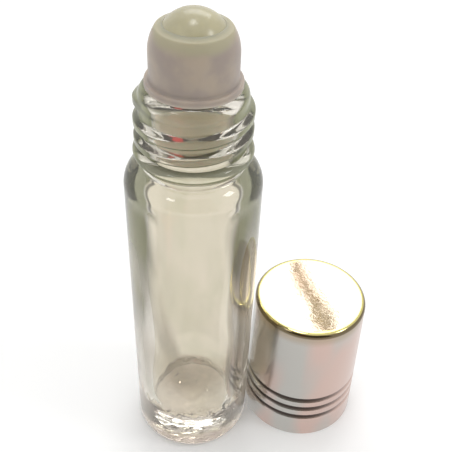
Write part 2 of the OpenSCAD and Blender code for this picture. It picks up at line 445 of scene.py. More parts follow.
@dataclass(frozen=True)
class Spot:
    """A point of the outer glass: its place in millimetres, and how far it turns away, from 0 to 1."""

    place: Value
    height: Value
    across: Value
    front: Value
    facing: Value
    waves: Value

    @classmethod
    def on(cls, graph: Graph, place: Value) -> Spot:
        """Reads the spot in a material's graph, from its place.

        Args:
            graph: Graph of the material.
            place: Coordinates in millimetres.

        Returns:
            The spot.
        """
        return cls(
            place=place,
            height=place.along("Z"),
            across=place.along("X"),
            front=place.along("Y").between(*GLASS_FRONT),
            facing=graph.node("ShaderNodeLayerWeight", {}, {"Blend": 0.5}, output="Facing"),
            waves=graph.noise(graph.place(scale=(1, 1, GLASS_WAVE_STRETCH)), GLASS_WAVE) - 0.5,
        )


@dataclass(frozen=True)
class ClearGlass:
    """Clear moulded glass, warm where looked straight through, with painted green-grey shade at its
    sides.

    A span tells where a change starts and ends: a height or a width in millimetres, how far the glass
    turns away where its name ends in turn, or else a value of noise. A pair is a rise and a fall.
    A grain is the scale of a noise, in cells in a millimetre, and a stretch draws it out upwards.
    """

    ior: float = 1.5
    clear: float = 0.975
    inner_clear: float = 0.92
    most_rough: float = 0.02
    haze: Span = (0.45, 0.75)
    haze_grain: float = 0.35
    cloud_grain: float = 0.1
    face_colour: Colour = (0.92, 0.87, 0.79)
    inner_colour: Colour = (0.90, 0.885, 0.75)
    dull_colour: Colour = (0.80, 0.77, 0.66)
    dull: Span = (0.47, 0.66)
    dull_grain: float = 0.13
    dull_stretch: float = 0.4
    # Green-grey at the sides: partly the glass's own tint over its long path, partly painted shade.
    side_shade_colour: Colour = (0.042, 0.043, 0.012)
    side_turn: Span = (0.34, 0.47)
    narrow_height: Span = (50.0, 22.0)
    side_narrowing: float = 0.2
    side_wave: float = 0.3
    full_height: Span = (4.0, 42.0)
    full_lean: float = 0.8
    full_wave: float = 40.0
    # Painted shade on the shoulder: a green tint, ended by a painted dark line.
    shoulder_shade_colour: Colour = (0.11, 0.113, 0.06)
    shoulder_turn: Span = (0.33, 0.37)
    shoulder_height: tuple[Span, Span] = ((51.5, 54.0), (58.4, 57.4))
    lean_height: Span = (53.6, 55.2)
    lean: float = 0.12
    shade_line_colour: Colour = (0.008, 0.007, 0.004)
    line_turn: tuple[Span, Span] = ((0.305, 0.325), (0.355, 0.335))
    line_height: tuple[Span, Span] = ((53.2, 54.0), (57.8, 57.0))
    line_share: float = 0.9
    # Painted shade on the front: a slanted darker streak and a darker pool low down.
    streak_shade_colour: Colour = (0.36, 0.325, 0.27)
    streak_width: Span = (2.6, 0.6)
    streak_height: tuple[Span, Span] = ((16.0, 20.0), (46.0, 26.0))
    streak_foot: float = 14.5
    streak_lean: float = 0.25
    streak_wave: float = 4.0
    pool_shade_colour: Colour = (0.42, 0.37, 0.28)
    pool_turn: Span = (0.8, 0.45)
    pool_height: tuple[Span, Span] = ((13.5, 20.0), (27.5, 22.0))
    pool_share: float = 0.8
    # Painted shade on the heel, mottled with painted glints, and a paler painted tone at its foot.
    heel_shade_colour: Colour = (0.03, 0.02, 0.012)
    heel_height: Span = (13.4, 11.8)
    heel_rise: float = 4.5
    heel_share: float = 0.95
    glint_colour: Colour = (1.0, 0.97, 0.86)
    spark: Span = (-0.08, 0.02)
    spark_grain: float = 0.75
    foot_colour: Colour = (0.62, 0.52, 0.45)
    foot_height: Span = (7.0, 5.8)
    # Painted light: a milky diffuse share, not in clear glass, that lifts what would show black.
    lift_colour: Colour = (0.82, 0.74, 0.61)
    moss_colour: Colour = (0.60, 0.62, 0.40)
    moss_height: Span = (50.0, 56.0)
    lift_rough: float = 0.3
    wall_height: Span = (61.0, 59.0)
    wall_lift: float = 0.035
    bead_height: tuple[Span, Span] = ((57.7, 58.4), (60.5, 59.8))
    bead_lift: float = 0.25
    thread_height: Span = (59.8, 60.5)
    thread_turn: Span = (0.35, 0.6)
    thread_lift: float = 0.28
    shoulder_lift: float = 0.05
    edge_turn: Span = (0.5, 0.8)
    edge_height: Span = (50.0, 40.0)
    edge_lift: float = 0.25

    def material(self, zone: Zone) -> bpy.types.Material:
        """Makes the material of a zone of the glass.

        Args:
            zone: The zone. The inner face keeps its colour towards its sides.

        Returns:
            The material.
        """
        made, graph = Graph.material(f"clear_glass_{zone.name.lower()}")
        place = graph.place()
        haze = graph.noise(place, self.haze_grain, detail=3.0).between(*self.haze)
        sockets = {"Roughness": haze * self.most_rough, "IOR": self.ior}
        if zone is Zone.INNER:
            cloud = graph.noise(place, self.cloud_grain)
            sockets["Base Color"] = graph.mix(cloud, self.face_colour, self.inner_colour)
            sockets["Transmission Weight"] = self.inner_clear
            graph.surface(graph.principled(sockets))
            return made
        spot = Spot.on(graph, place)
        tint, line = self._shoulder_shade(graph, spot)
        drawn = graph.place(scale=(1, 1, self.dull_stretch))
        dull = graph.noise(drawn, self.dull_grain, detail=3.0).between(*self.dull)
        colour = graph.mix(dull, self.face_colour, self.dull_colour)
        # Painted shade at the sides, partly the glass's own green over its long path.
        colour = graph.mix(self._side_shade(spot), colour, self.side_shade_colour)
        # Painted shade on the shoulder, and the painted dark line that ends it.
        colour = graph.mix(tint, colour, self.shoulder_shade_colour)
        colour = graph.mix(line * self.line_share, colour, self.shade_line_colour)
        # Painted shade on the front: the slanted streak and the darker pool.
        colour = self._front_shade(graph, spot, colour)
        # Painted shade and painted glints on the heel, paler at its foot.
        sockets["Base Color"] = self._heel_shade(graph, spot, colour)
        sockets["Transmission Weight"] = self.clear
        # Painted light: a milky diffuse share that lifts what would show black, greener on the
        # shoulder.
        moss = spot.height.between(*self.moss_height)
        lift_layer = graph.principled({
            "Base Color": graph.mix(moss, self.lift_colour, self.moss_colour),
            "Roughness": self.lift_rough,
            "IOR": self.ior,
        })
        graph.surface(graph.either(self._painted_lift(spot, tint), graph.principled(sockets), lift_layer))
        return made

    def _side_shade(self, spot: Spot) -> Value:
        """Share of the painted green-grey shade at the sides, widest high up and fullest high on the
        left.

        Args:
            spot: The spot of the glass.

        Returns:
            The share.
        """
        full = spot.height - spot.across * self.full_lean + spot.waves * self.full_wave
        narrowing = spot.height.between(*self.narrow_height) * self.side_narrowing
        side = spot.facing - narrowing + spot.waves * self.side_wave
        return side.between(*self.side_turn) * full.between(*self.full_height)

    def _shoulder_shade(self, graph: Graph, spot: Spot) -> tuple[Value, Value]:
        """Shares of the shoulder's painted green shade and of the painted dark line that ends it.

        Args:
            graph: Graph of the material.
            spot: The spot of the glass.

        Returns:
            The tint's share and the line's share, both 0 where light leaves the glass.
        """
        entering = 1.0 - graph.node("ShaderNodeNewGeometry", output="Backfacing")
        turn = spot.facing + spot.height.between(*self.lean_height) * self.lean
        tint = turn.between(*self.shoulder_turn) * spot.height.inside(*self.shoulder_height)
        line = turn.inside(*self.line_turn) * spot.height.inside(*self.line_height)
        return tint * entering, line * entering

    def _front_shade(self, graph: Graph, spot: Spot, colour: Value) -> Value:
        """Adds painted shade to a colour: the slanted streak and the darker pool low on the front.

        Args:
            graph: Graph of the material.
            spot: The spot of the glass.
            colour: The colour so far.

        Returns:
            The colour with both.
        """
        streak = spot.across + (spot.height - self.streak_foot) * self.streak_lean
        streak = abs(streak + spot.waves * self.streak_wave).between(*self.streak_width)
        streak = streak * spot.height.inside(*self.streak_height) * spot.front
        pool = spot.height.inside(*self.pool_height) * spot.facing.between(*self.pool_turn) * spot.front
        colour = graph.mix(streak, colour, self.streak_shade_colour)
        return graph.mix(pool * self.pool_share, colour, self.pool_shade_colour)

    def _heel_shade(self, graph: Graph, spot: Spot, colour: Value) -> Value:
        """Adds the painted dark heel with its painted glints, and the paler foot under it, to a colour.

        Args:
            graph: Graph of the material.
            spot: The spot of the glass.
            colour: The colour so far.

        Returns:
            The colour with both.
        """
        low = spot.height + spot.facing * self.heel_rise
        # The mottle places painted glints in the heel's painted shade.
        mottle = graph.noise(spot.place, self.spark_grain, detail=4.0, rough=0.7) - spot.facing
        heel = graph.mix(mottle.between(*self.spark), self.heel_shade_colour, self.glint_colour)
        heel = graph.mix(low.between(*self.foot_height), heel, self.foot_colour)
        return graph.mix(low.between(*self.heel_height) * self.heel_share, colour, heel)

    def _painted_lift(self, spot: Spot, tint: Value) -> Value:
        """Share of the milky film, painted light that lifts what would show black in the clear glass.

        Args:
            spot: The spot of the glass.
            tint: Share of the shoulder's painted shade.

        Returns:
            The share.
        """
        height, facing = spot.height, spot.facing
        wall = height.between(*self.wall_height) * self.wall_lift
        bead = height.inside(*self.bead_height) * self.bead_lift
        thread = height.between(*self.thread_height) * facing.between(*self.thread_turn)
        thread = thread * self.thread_lift
        edge = height.between(*self.edge_height) * facing.between(*self.edge_turn) * self.edge_lift
        return (wall + bead + thread + tint * self.shoulder_lift + edge).clipped()


@dataclass(frozen=True)
class MilkyPlastic:
    """Soft milky plastic that light sinks into, thin enough at its mouth to show the ball."""

    lip: float
    lip_blur: float = 0.6
    mouth: Span = (75.8, 76.9)
    # The crest takes the mouth colour too: painted shade that tones down its lit ring.
    crest: Span = (76.31, 76.66)
    colour: Colour = (0.45, 0.375, 0.295)
    edge_colour: Colour = (0.37, 0.31, 0.27)
    mouth_colour: Colour = (0.42, 0.385, 0.265)
    # Painted light: the plug in the neck is far paler than the dome, for light through the glass.
    lit_plug_colour: Colour = (0.97, 0.88, 0.77)
    sheen_colour: Colour = (0.80, 0.74, 0.86)
    cloud: Span = (0.35, 0.65)
    cloud_grain: float = 0.22
    front_dip: float = 0.18
    mouth_stray: float = 0.3
    sink: float = 1.0
    sink_share: float = 0.8
    sink_colour: Colour = (1.0, 0.85, 0.75)
    sheen: float = 0.04
    sheen_rough: float = 0.4
    rough: float = 0.34
    cloud_rough: float = 0.06
    mouth_rough: float = 0.2
    grain: float = 9.0
    grain_depth: float = 0.004

    def material(self) -> bpy.types.Material:
        """Makes the material.

        Returns:
            The material.
        """
        made, graph = Graph.material("milky_plastic")
        place = graph.place()
        height = place.along("Z")
        cloud = graph.noise(place, self.cloud_grain, detail=3.0).between(*self.cloud)
        mouth = height - place.along("Y") * self.front_dip + (cloud - 0.5) * self.mouth_stray
        mouth = mouth.between(*self.mouth)
        colour = graph.mix(cloud, self.colour, self.edge_colour)
        # The mouth is coloured like the ball; the crest takes that colour too, as painted shade on its
        # lit ring.
        for thin in (mouth, height.between(*self.crest)):
            colour = graph.mix(thin, colour, self.mouth_colour)
        # Painted light: the plug below the lip takes the paler colour.
        plug = height.between(self.lip + self.lip_blur, self.lip - self.lip_blur)
        graph.surface(graph.principled({
            "Base Color": graph.mix(plug, colour, self.lit_plug_colour),
            "Roughness": cloud * self.cloud_rough + mouth * self.mouth_rough + self.rough,
            "IOR": PLASTIC_IOR,
            "Subsurface Weight": self.sink_share,
            "Subsurface Radius": self.sink_colour,
            "Subsurface Scale": self.sink * MM,
            "Sheen Weight": self.sheen,
            "Sheen Roughness": self.sheen_rough,
            "Sheen Tint": self.sheen_colour,
            "Normal": graph.bump(graph.noise(place, self.grain), self.grain_depth),
        }))
        return made


@dataclass(frozen=True)
class IvoryBall:
    """Smooth ivory plastic of the ball."""

    colour: Colour = (0.47, 0.43, 0.275)
    deep_colour: Colour = (0.42, 0.385, 0.25)
    cloud: Span = (0.35, 0.7)
    cloud_grain: float = 0.4
    sink: float = 0.8
    sink_share: float = 0.4
    sink_colour: Colour = (1.0, 0.9, 0.6)
    rough: float = 0.20
    cloud_rough: float = 0.06
    grain: float = 6.0
    grain_depth: float = 0.003

    def material(self) -> bpy.types.Material:
        """Makes the material.

        Returns:
            The material.
        """
        made, graph = Graph.material("ivory_ball")
        place = graph.place()
        cloud = graph.noise(place, self.cloud_grain, detail=3.0).between(*self.cloud)
        graph.surface(graph.principled({
            "Base Color": graph.mix(cloud, self.colour, self.deep_colour),
            "Roughness": cloud * self.cloud_rough + self.rough,
            "IOR": PLASTIC_IOR,
            "Subsurface Weight": self.sink_share,
            "Subsurface Radius": self.sink_colour,
            "Subsurface Scale": self.sink * MM,
            "Normal": graph.bump(graph.noise(place, self.grain), self.grain_depth),
        }))
        return made


@dataclass(frozen=True)
class BrightMetal:
    """Bright drawn aluminium under a clear lacquer, with faint drawing lines and a wrinkled top.

    A span named depth is in millimetres below the top. The others are how far from the edge the gold
    starts and is full, how far from a groove's middle it is clean and brown with painted shade, and
    how far towards the side where that painted shade is fullest.
    """

    centre: Vector
    height: float
    edge: float
    grooves: tuple[float, ...]
    colour: Colour = (0.57, 0.51, 0.45)
    rose_colour: Colour = (0.63, 0.45, 0.40)
    steel_colour: Colour = (0.48, 0.48, 0.46)
    tint_share: float = 0.75
    film: Span = (0.42, 0.6)
    film_grain: float = 0.09
    film_stretch: float = 0.35
    # Painted shade in the grooves: dark brown, fullest towards the front.
    brown_colour: Colour = (0.03, 0.018, 0.012)
    groove_width: Span = (0.66, 0.25)
    shade_side: tuple[float, float, float] = (-0.35, -0.94, 0)
    shade_reach: Span = (0.0, 9.5)
    brown_share: float = 0.95
    # Painted reflection: a darker olive band round the wall just below the top.
    olive_colour: Colour = (0.42, 0.34, 0.24)
    olive_depth: Span = (3.0, 0.9)
    olive_share: float = 0.7
    # Painted reflection: a dark brown line on the rounded edge of the top.
    dark_colour: Colour = (0.15, 0.115, 0.06)
    dark_depth: tuple[Span, Span] = ((0.95, 0.6), (0.0, 0.1))
    dark_share: float = 0.9
    # Painted reflection: a gold ring on the top near its edge, with a ragged inner border.
    gold_colour: Colour = (0.68, 0.60, 0.24)
    gold_depth: Span = (0.2, 0.05)
    gold_ring: Span = (1.3, 0.7)
    gold_stray: float = 1.2
    gold_grain: float = 0.5
    top_depth: Span = (0.5, 0.1)
    top_rough: float = 0.06
    rough: float = 0.19
    line_rough: float = 0.06
    line_grain: float = 2.2
    line_stretch: float = 0.06
    wrinkle_grain: float = 1.3
    wrinkle_twist: float = 0.8
    wrinkle_depth: float = 0.006
    side_wrinkle: float = 0.3

    def material(self) -> bpy.types.Material:
        """Makes the material.

        Returns:
            The material.
        """
        made, graph = Graph.material("bright_metal")
        place = graph.place(centre=self.centre)
        height = place.along("Z")
        depth = self.height - height
        top = depth.between(*self.top_depth)
        film = graph.noise(graph.place((1, 1, self.film_stretch), self.centre), self.film_grain)
        tint = graph.mix(film.between(*self.film), self.steel_colour, self.rose_colour)
        colour = graph.mix(self.tint_share, self.colour, tint)
        # Painted reflection: a darker olive band just below the top.
        olive = depth.between(*self.olive_depth) * self.olive_share
        colour = graph.mix(olive, colour, self.olive_colour)
        # Painted reflection: a dark brown line on the rounded edge of the top.
        dark = depth.inside(*self.dark_depth) * self.dark_share
        colour = graph.mix(dark, colour, self.dark_colour)
        # Painted reflection: a gold ring on the top near its edge, with a ragged inner border.
        away = graph.place((1, 1, 0), self.centre).length()
        away = away + (graph.noise(place, self.gold_grain) - 0.5) * self.gold_stray
        gold = away.between(*(self.edge - inset for inset in self.gold_ring))
        colour = graph.mix(depth.between(*self.gold_depth) * gold, colour, self.gold_colour)
        # Painted shade in the grooves, fullest towards the front.
        groove_shade = 0.0
        for middle in self.grooves:
            groove_shade = abs(height - middle).between(*self.groove_width) + groove_shade
        groove_shade = groove_shade * place.dot(self.shade_side).between(*self.shade_reach) * self.brown_share
        lines = graph.place((1, 1, self.line_stretch), self.centre)
        drawn = graph.noise(lines, self.line_grain, detail=3.0, rough=0.6)
        wrinkle = graph.noise(place, self.wrinkle_grain, detail=3.0, twist=self.wrinkle_twist)
        graph.surface(graph.principled({
            "Base Color": graph.mix(groove_shade, colour, self.brown_colour),
            "Metallic": 1.0,
            "Roughness": (drawn * self.line_rough + self.rough) * (1.0 - top) + top * self.top_rough,
            "Normal": graph.bump(wrinkle * (top * (1 - self.side_wrinkle) + self.side_wrinkle),
                                 self.wrinkle_depth),
        }))
        return made


@dataclass(frozen=True)
class WhitePlastic:
    """Plain white moulded plastic of the liner."""

    colour: Colour = (0.80, 0.80, 0.77)
    deep_colour: Colour = (0.752, 0.752, 0.7238)
    cloud_grain: float = 0.3
    rough: float = 0.30
    grain: float = 5.0
    grain_rough: float = 0.1
    grain_depth: float = 0.004

    def material(self) -> bpy.types.Material:
        """Makes the material.

        Returns:
            The material.
        """
        made, graph = Graph.material("white_plastic")
        place = graph.place()
        grain = graph.noise(place, self.grain)
        cloud = graph.noise(place, self.cloud_grain)
        graph.surface(graph.principled({
            "Base Color": graph.mix(cloud, self.colour, self.deep_colour),
            "Roughness": grain * self.grain_rough + self.rough,
            "IOR": PLASTIC_IOR,
            "Normal": graph.bump(grain, self.grain_depth),
        }))
        return made


@dataclass
class GlassBottle:
    """The moulded glass bottle with its screwed neck, in millimetres."""

    body_radius: float = 10.0
    inner_radius: float = 7.0
    neck_foot: float = 57.6
    lip: float = 68.8
    floor: float = 5.4
    shoulder_rounds: tuple[float, float] = (4.0, 0.8)
    shoulder_drop: float = 2.1
    inner_rounds: tuple[float, float] = (3.0, 1.6)
    heel_round: float = 1.7
    punt_radius: float = 6.0
    punt_rise: float = 0.5
    floor_round: float = 2.2
    neck_radius: float = 7.4
    neck_margin: float = 0.2
    bore_radius: float = 5.5
    bead_out: float = 1.05
    bead_middle: float = 59.1
    bead_half: float = 0.85
    lip_round: float = 1.4
    lip_inner_round: float = 0.2
    thread_out: float = 0.8
    thread_top: float = 66.6
    pitch: float = 2.6
    turns: float = 2.28
    end_angle: float = 212.0
    thread_half: float = 1.15
    thread_crown: float = 1.5
    fade_turns: float = 0.1
    clear_of_plug: float = 0.012
    wall_stray: float = 0.14
    wall_waves: Vector = field(default_factory=lambda: Vector((0.13, 0.13, 0.07)))
    floor_stray: float = 0.6
    floor_waves: tuple[float, float] = (0.38, 0.9)
    fine_share: float = 0.5
    corner_stray: float = 0.5
    corner_height: float = 6.0
    calm_radius: float = 2.5
    calm_under_neck: float = 2.0
    stipple: float = 0.2
    stipple_waves: tuple[float, float] = (0.9, 2.1)
    stipple_planes: tuple[float, float] = (7.0, 3.0)
    stipple_fade: float = 0.9
    zone_depth: float = 1.0
    zone_reach: float = 0.5
    steps: int = 240

    def outline(self) -> Outline:
        """Outline of the whole glass, from under the base over the lip to the floor inside.

        Returns:
            The outline, without the thread.
        """
        arc_radius = (self.punt_radius ** 2 + self.punt_rise ** 2) / (2 * self.punt_rise)
        punt_end = math.degrees(math.acos(self.punt_radius / arc_radius))
        line = Outline().arc((0, self.punt_rise - arc_radius), arc_radius, 90, punt_end, step=0.6)
        line.to(self.body_radius - self.heel_round, 0, step=0.2)
        line.arc((self.body_radius - self.heel_round, self.heel_round), self.heel_round, -90, 0, step=5)
        outer = shoulder(self.body_radius, self.neck_radius, self.neck_foot, *self.shoulder_rounds)
        line.to(*outer.points[0], step=2.0).join(outer.points)
        flatness = self.bead_half / self.bead_out
        line.arc((self.neck_radius, self.bead_middle), self.bead_out, -90, 90, step=6, squash=flatness)
        lip_foot = self.lip - self.lip_round
        line.to(self.neck_radius, lip_foot, step=0.1)
        line.arc((self.neck_radius - self.lip_round, lip_foot), self.lip_round, 0, 90, step=6)
        bore = self.bore_radius + self.clear_of_plug
        edge = self.lip_inner_round
        line.arc((bore + edge, self.lip - edge), edge, 90, 180, step=15)
        inner_top = self.neck_foot - self.shoulder_drop
        inner = shoulder(self.inner_radius, bore, inner_top, *self.inner_rounds)
        line.to(*inner.points[-1], step=0.5).join(reversed(inner.points))
        corner = self.floor + self.floor_round
        line.to(self.inner_radius, corner, step=0.8)
        line.arc((self.inner_radius - self.floor_round, corner), self.floor_round, 0, -90, step=6)
        line.to(0, self.floor, step=0.35)
        return line

    def ridge(self, angle: float, height: float) -> float:
        """How far the thread stands out at a place on the neck.

        Args:
            angle: Angle about the axis, in degrees.
            height: Height of the place.

        Returns:
            The rise of the thread there.
        """
        out = 0.0
        first = ((self.end_angle - angle) % FULL_TURN) / FULL_TURN
        for turn in range(math.ceil(self.turns) + 1):
            back = first + turn
            if back > self.turns:
                break
            across = abs(height - self.thread_top + self.pitch * back) / self.thread_half
            fade = smooth(min(back, self.turns - back) / self.fade_turns)
            out = max(out, self.thread_out * fade * smooth((1 - across) * self.thread_crown))
        return out

    def moved(self, place: Vector) -> Vector:
        """Where a point of the plain turned glass lies on the moulded glass.

        Args:
            place: The point, away from the axis.

        Returns:
            Its place with the thread, the stray of the inner faces and the stipple under the base.
        """
        radius = math.hypot(place.x, place.y)
        out, up = 0.0, 0.0
        if radius > self.neck_radius - self.neck_margin:
            if self.bead_middle + self.bead_half < place.z < self.lip:
                out = self.ridge(math.degrees(math.atan2(place.y, place.x)), place.z)
        elif self.floor - NEAR < place.z < self.neck_foot - self.calm_under_neck:
            wall = smooth((place.z - self.floor) / self.floor_round)
            out = self.wall_stray * wall * noise.noise(place * self.wall_waves)
            coarse, fine = (noise.noise(place * scale) for scale in self.floor_waves)
            uneven = coarse + self.fine_share * fine
            up = self.floor_stray * (1 - wall) * uneven
            if radius > self.calm_radius:
                corner = 1 - smooth((place.z - self.floor) / self.corner_height)
                out += self.corner_stray * corner * uneven
        if place.z < self.punt_rise + NEAR:
            inwards = self.body_radius - self.heel_round - radius
            ring = 1 - smooth(1 - inwards / self.stipple_fade)
            coarse, fine = (noise.noise(Vector((place.x * scale, place.y * scale, plane)))
                            for scale, plane in zip(self.stipple_waves, self.stipple_planes))
            up = self.stipple * ring * max(0.0, 1 + coarse + self.fine_share * fine) / 2
        return Vector((place.x * (1 + out / radius), place.y * (1 + out / radius), place.z + up))

    def shape(self) -> bmesh.types.BMesh:
        """The glass with its thread and its moulded unevenness.

        Returns:
            The shape, in millimetres.
        """
        shape = turned(self.outline(), self.steps)
        for vert in shape.verts:
            if math.hypot(vert.co.x, vert.co.y) > ON_AXIS:
                vert.co = self.moved(vert.co)
        return shape

    def zone(self, radius: float, height: float) -> Zone:
        """Zone that a place on the glass is in.

        Args:
            radius: Distance of the place from the axis.
            height: Height of the place.

        Returns:
            The zone.
        """
        if height > self.neck_foot:
            inner = radius < self.bore_radius + self.lip_inner_round
        else:
            above_floor = height > self.floor - self.zone_depth
            inner = above_floor and radius < self.inner_radius + self.zone_reach
        return Zone.INNER if inner else Zone.OUTER

    def build(self, finish: ClearGlass) -> None:
        """Builds and dresses the glass.

        Args:
            finish: Finish of the glass.
        """
        piece = finished("glass_body", self.shape())
        for zone in Zone:
            piece.data.materials.append(finish.material(zone))
        for face in piece.data.polygons:
            middle = face.center / MM
            face.material_index = self.zone(math.hypot(middle.x, middle.y), middle.z).value
        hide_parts("glass_bottle")
        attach(piece, Body.BOTTLE.value)
        LOG.info("glass_body: %d faces", len(piece.data.polygons))


@dataclass
class RollerHead:
    """The housing that is pressed into the neck, and its ball, in millimetres."""

    lip: float = 68.8
    ball_radius: float = 4.95
    ball_height: float = 73.95
    socket_radius: float = 4.965
    dome_radius: float = 5.9
    mouth_up: float = 2.4
    lip_round: float = 0.33
    lip_lift: float = 0.03
    lip_end: float = 80.0
    lip_reach: float = 0.3
    lip_steps: int = 8
    ball_gap: tuple[float, float] = (0.01, 0.02)
    feather: float = 9.0
    plug_radius: float = 5.35
    plug_inner: float = 4.25
    plug_foot: float = 59.7
    plug_lead: float = 0.5
    collar_radius: float = 6.5
    collar_thick: float = 1.0
    collar_round: float = 0.3
    collar_edge: float = 0.1
    dome_foot: float = 0.28
    touch_radius: float = 5.525
    touch_depth: float = 0.12
    touch_lead: float = 0.3
    bore_radius: float = 5.5
    feed_radius: float = 3.4
    seat_thick: float = 0.8
    rib_half: float = 0.45
    ribs: tuple[float, ...] = (61.065, 63.643, 66.222)
    steps: int = 160

    def outline(self) -> Outline:
        """Outline of the housing's section.

        Returns:
            The outline, whose end joins its start.
        """
        mouth = math.sqrt(self.socket_radius ** 2 - self.mouth_up ** 2)
        lip_z = self.ball_height + self.mouth_up + self.lip_lift
        reach = self.dome_radius - self.lip_round
        centre_z = lip_z - math.sqrt(reach ** 2 - (mouth + self.lip_round) ** 2)
        lip_angle = math.degrees(math.acos((mouth + self.lip_round) / reach))
        start = math.degrees(math.asin(self.mouth_up / self.socket_radius)) + self.feather
        line = Outline().to(self.plug_inner, self.plug_foot)
        line.to(self.plug_radius - self.plug_lead, self.plug_foot, step=0.3)
        line.to(self.plug_radius, self.plug_foot + self.plug_lead, step=0.1)
        for middle in self.ribs:
            line.to(self.plug_radius, middle - self.rib_half, step=0.2)
            line.to(self.bore_radius, middle - self.rib_half / 2, step=0.1)
            line.to(self.bore_radius, middle + self.rib_half / 2, step=0.1)
            line.to(self.plug_radius, middle + self.rib_half, step=0.1)
        touch_foot = self.lip - self.touch_depth
        line.to(self.plug_radius, touch_foot - self.touch_lead, step=0.2)
        line.to(self.touch_radius, touch_foot, step=0.1)
        line.to(self.touch_radius, self.lip, step=0.1)
        edge = self.collar_edge
        line.to(self.collar_radius - edge, self.lip, step=0.2)
        line.arc((self.collar_radius - edge, self.lip + edge), edge, -90, 0, step=15)
        top = self.lip + self.collar_thick
        edge = self.collar_round
        line.arc((self.collar_radius - edge, top - edge), edge, 0, 90, step=10)
        foot = self.dome_radius + self.dome_foot
        line.to(foot, top, step=0.1)
        line.arc((foot, top + self.dome_foot), self.dome_foot, -90, -180, step=10)
        line.to(self.dome_radius, centre_z, step=0.25)
        line.arc((0, centre_z), self.dome_radius, 0, lip_angle, step=2)
        line.arc((mouth + self.lip_round, lip_z), self.lip_round, lip_angle, self.lip_end, step=8)
        rim = math.radians(start)
        crest = line.points[-1]
        bend = (crest[0] - self.lip_reach, crest[1] + NEAR)
        touch = (self.socket_radius * math.cos(rim) + self.ball_gap[0],
                 self.ball_height + self.socket_radius * math.sin(rim) + self.ball_gap[1])
        for i in range(1, self.lip_steps + 1):
            share = i / self.lip_steps
            line.to(*((1 - share) ** 2 * first + 2 * share * (1 - share) * middle + share ** 2 * last
                      for first, middle, last in zip(crest, bend, touch)))
        end = -math.degrees(math.acos(self.feed_radius / self.socket_radius))
        line.arc((0, self.ball_height), self.socket_radius, start, end, step=4)
        seat = self.ball_height - math.sqrt(self.socket_radius ** 2 - self.feed_radius ** 2)
        under = seat - self.seat_thick
        line.to(self.feed_radius, under, step=0.2)
        line.to(self.plug_inner, under - (self.plug_inner - self.feed_radius), step=0.2)
        line.to(self.plug_inner, self.plug_foot + 0.1, step=0.4)
        return line

    def build(self, plastic: MilkyPlastic, ivory: IvoryBall) -> None:
        """Builds and dresses the housing and the ball.

        Args:
            plastic: Finish of the housing.
            ivory: Finish of the ball.
        """
        housing = finished("housing_shell", turned(self.outline(), self.steps, closed=True))
        put_on(housing, plastic.material())
        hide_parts("roller_housing")
        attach(housing, Body.BOTTLE.value)
        LOG.info("housing_shell: %d faces", len(housing.data.polygons))
        shape = bmesh.new()
        bmesh.ops.create_icosphere(shape, subdivisions=5, radius=self.ball_radius)
        ball = finished("rolling_ball", shape, Vector((0, 0, self.ball_height)))
        put_on(ball, ivory.material())
        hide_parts("roller_ball")
        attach(ball, Body.BALL.value)
        LOG.info("rolling_ball: %d faces", len(ball.data.polygons))


@dataclass
class ScrewCap:
    """The drawn metal shell of the screw cap and its liner, in millimetres."""

    centre: Vector = field(default_factory=lambda: Vector((20.1498, 4.28298, 0)))
    radius: float = 10.4
    taper: float = 0.9
    height: float = 26.5
    wall: float = 0.4
    edge_round: float = 0.8
    grooves: tuple[float, ...] = (5.0, 7.3, 9.6)
    groove_depth: float = 0.25
    groove_half: float = 0.75
    groove_crown: float = 1.35
    grooved: tuple[float, float] = (0.3, 11.0)
    fine_step: float = 0.07
    plain_step: float = 1.2
    plain_steps: int = 12
    steps: int = 192

    def face(self, height: float, inset: float) -> float:
        """Radius of the wall at a height, back from its outer face by inset.

        Args:
            height: The height.
            inset: How far the face lies behind the outer face.

        Returns:
            The radius.
        """
        radius = self.radius - self.taper * height / self.height - inset
        for middle in self.grooves:
            near = 1 - abs(height - middle) / self.groove_half
            radius -= self.groove_depth * smooth(self.groove_crown * near)
        return radius

    def outline(self) -> Outline:
        """Outline of the shell's section, from its rim over the outside and back down inside.

        Returns:
            The outline.
        """
        half = self.wall / 2
        line = Outline().arc((self.radius - half, half), half, -180, 0, step=20)
        top = self.height - self.edge_round
        low, high = self.grooved
        heights = [low + i * self.fine_step for i in range(int((high - low) / self.fine_step))]
        heights += [high + i * self.plain_step for i in range(self.plain_steps)]
        line.join((self.face(z, 0), z) for z in heights)
        corner = self.face(top, 0) - self.edge_round
        line.arc((corner, top), self.edge_round, 0, 90, step=5)
        line.to(0, self.height, step=0.35)
        line.to(0, self.height - self.wall)
        line.to(corner, self.height - self.wall, step=0.8)
        line.arc((corner, top), self.edge_round - self.wall, 90, 0, step=10)
        line.join((self.face(z, self.wall), z) for z in reversed(heights))
        return line

    def build(self, metal: BrightMetal, white: WhitePlastic, liner: bpy.types.Object) -> None:
        """Builds and dresses the shell, and dresses the liner's own node.

        Args:
            metal: Finish of the shell.
            white: Finish of the liner.
            liner: The liner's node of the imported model.
        """
        shell = finished("metal_shell", turned(self.outline(), self.steps), self.centre)
        put_on(shell, metal.material())
        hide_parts("cap_shell")
        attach(shell, Body.CAP.value)
        LOG.info("metal_shell: %d faces", len(shell.data.polygons))
        put_on(liner, white.material())
        LOG.info("cap_liner: %d faces", len(liner.data.polygons))


def outwards(azimuth: float, elevation: float) -> Vector:
    """Direction at an azimuth, from the back towards the right, and an elevation, both in degrees."""
    around, up = math.radians(azimuth), math.radians(elevation)
    return Vector((math.sin(around) * math.cos(up), math.cos(around) * math.cos(up), math.sin(up)))


